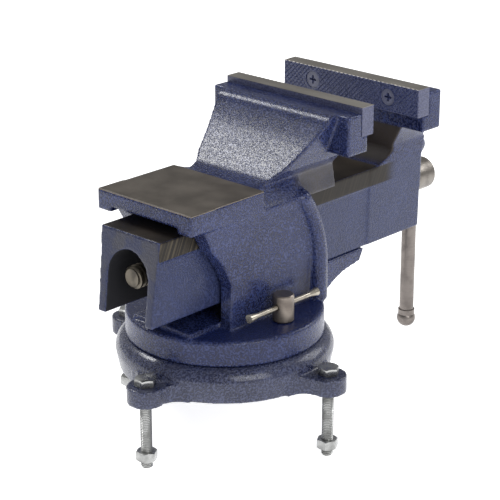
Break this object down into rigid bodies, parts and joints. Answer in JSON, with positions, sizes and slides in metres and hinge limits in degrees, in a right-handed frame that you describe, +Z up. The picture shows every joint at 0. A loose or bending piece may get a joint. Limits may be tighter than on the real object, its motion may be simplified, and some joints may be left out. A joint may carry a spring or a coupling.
{
  "type": "bench vise",
  "caption": "Bench vise with replaceable serrated jaw plates, a screw-driven sliding jaw, an anvil behind the fixed jaw and a lockable swivel base on mounting bolts.",
  "frame": {"origin": "centre of the swivel axis on the bench face (underside of the base)", "axes": "+Z up out of the bench, +Y towards the anvil, +X along the jaws"},
  "size_m": [0.1978, 0.319, 0.2273],
  "materials": {
    "blue_paint": "glossy hammertone enamel on cast iron",
    "jaw_steel": "ground steel, painted on the gripping faces",
    "screw_steel": "painted over with the plates",
    "bar_steel": "turned steel, satin",
    "zinc": "bright zinc plate",
    "spring_steel": "oiled spring steel",
    "cast_iron": "bare, greased"
  },
  "bodies": {
    "base": {"base_plate": "blue_paint", "mounting_bolts": "zinc", "mounting_nuts": "zinc"},
    "swivel_body": {"fixed_body": "blue_paint", "fixed_jaw_plate": "jaw_steel", "fixed_jaw_screws": "screw_steel", "lead_nut": "cast_iron", "lead_nut_bolt": "zinc"},
    "lock_left": {"lock_bolt_left": "bar_steel", "lock_nut_left": "bar_steel"},
    "lock_right": {"lock_bolt_right": "bar_steel", "lock_nut_right": "bar_steel"},
    "lock_bar_left": {"lock_bar_left": "bar_steel"},
    "lock_bar_right": {"lock_bar_right": "bar_steel"},
    "moving_jaw": {"moving_jaw": "blue_paint", "moving_jaw_plate": "jaw_steel", "moving_jaw_screws": "screw_steel"},
    "screw": {"lead_screw": "bar_steel", "thrust_washer": "zinc", "retaining_washers": "zinc", "retaining_spring": "spring_steel", "split_pin": "spring_steel"},
    "handle": {"handle_bar": "bar_steel", "handle_knob_upper": "bar_steel", "handle_knob_lower": "bar_steel"}
  },
  "joints": [
    {"name": "base_swivel", "type": "hinge", "parent": "base", "child": "swivel_body", "pos_m": [0, 0, 0.033], "axis": [0, 0, 1], "continuous": true},
    {"name": "lock_turn_left", "type": "hinge", "parent": "swivel_body", "child": "lock_left", "pos_m": [-0.04973, -0.0052, 0.05], "axis": [0, 0, 1], "range_deg": [-8, 1.5]},
    {"name": "lock_turn_right", "type": "hinge", "parent": "swivel_body", "child": "lock_right", "pos_m": [0.04973, -0.0052, 0.05], "axis": [0, 0, 1], "range_deg": [-1.5, 8]},
    {"name": "lock_bar_slide_left", "type": "slide", "parent": "lock_left", "child": "lock_bar_left", "axis": [0, 1, 0], "range_m": [-0.018, 0.018]},
    {"name": "lock_bar_slide_right", "type": "slide", "parent": "lock_right", "child": "lock_bar_right", "axis": [0, 1, 0], "range_m": [-0.018, 0.018]},
    {"name": "jaw_slide", "type": "slide", "parent": "swivel_body", "child": "moving_jaw", "axis": [0, 1, 0], "range_m": [-0.07685, 0.048]},
    {"name": "screw_turn", "type": "hinge", "parent": "moving_jaw", "child": "screw", "pos_m": [0, -0.20465, 0.0857], "axis": [0, 1, 0], "range_deg": [-6917.5, 4321]},
    {"name": "handle_slide", "type": "slide", "parent": "screw", "child": "handle", "axis": [0, 0, 1], "range_m": [0, 0.0957]}
  ],
  "couplings": [
    {"joint": "screw_turn", "follows": "jaw_slide", "rad_per_m": 1570.8}
  ]
}
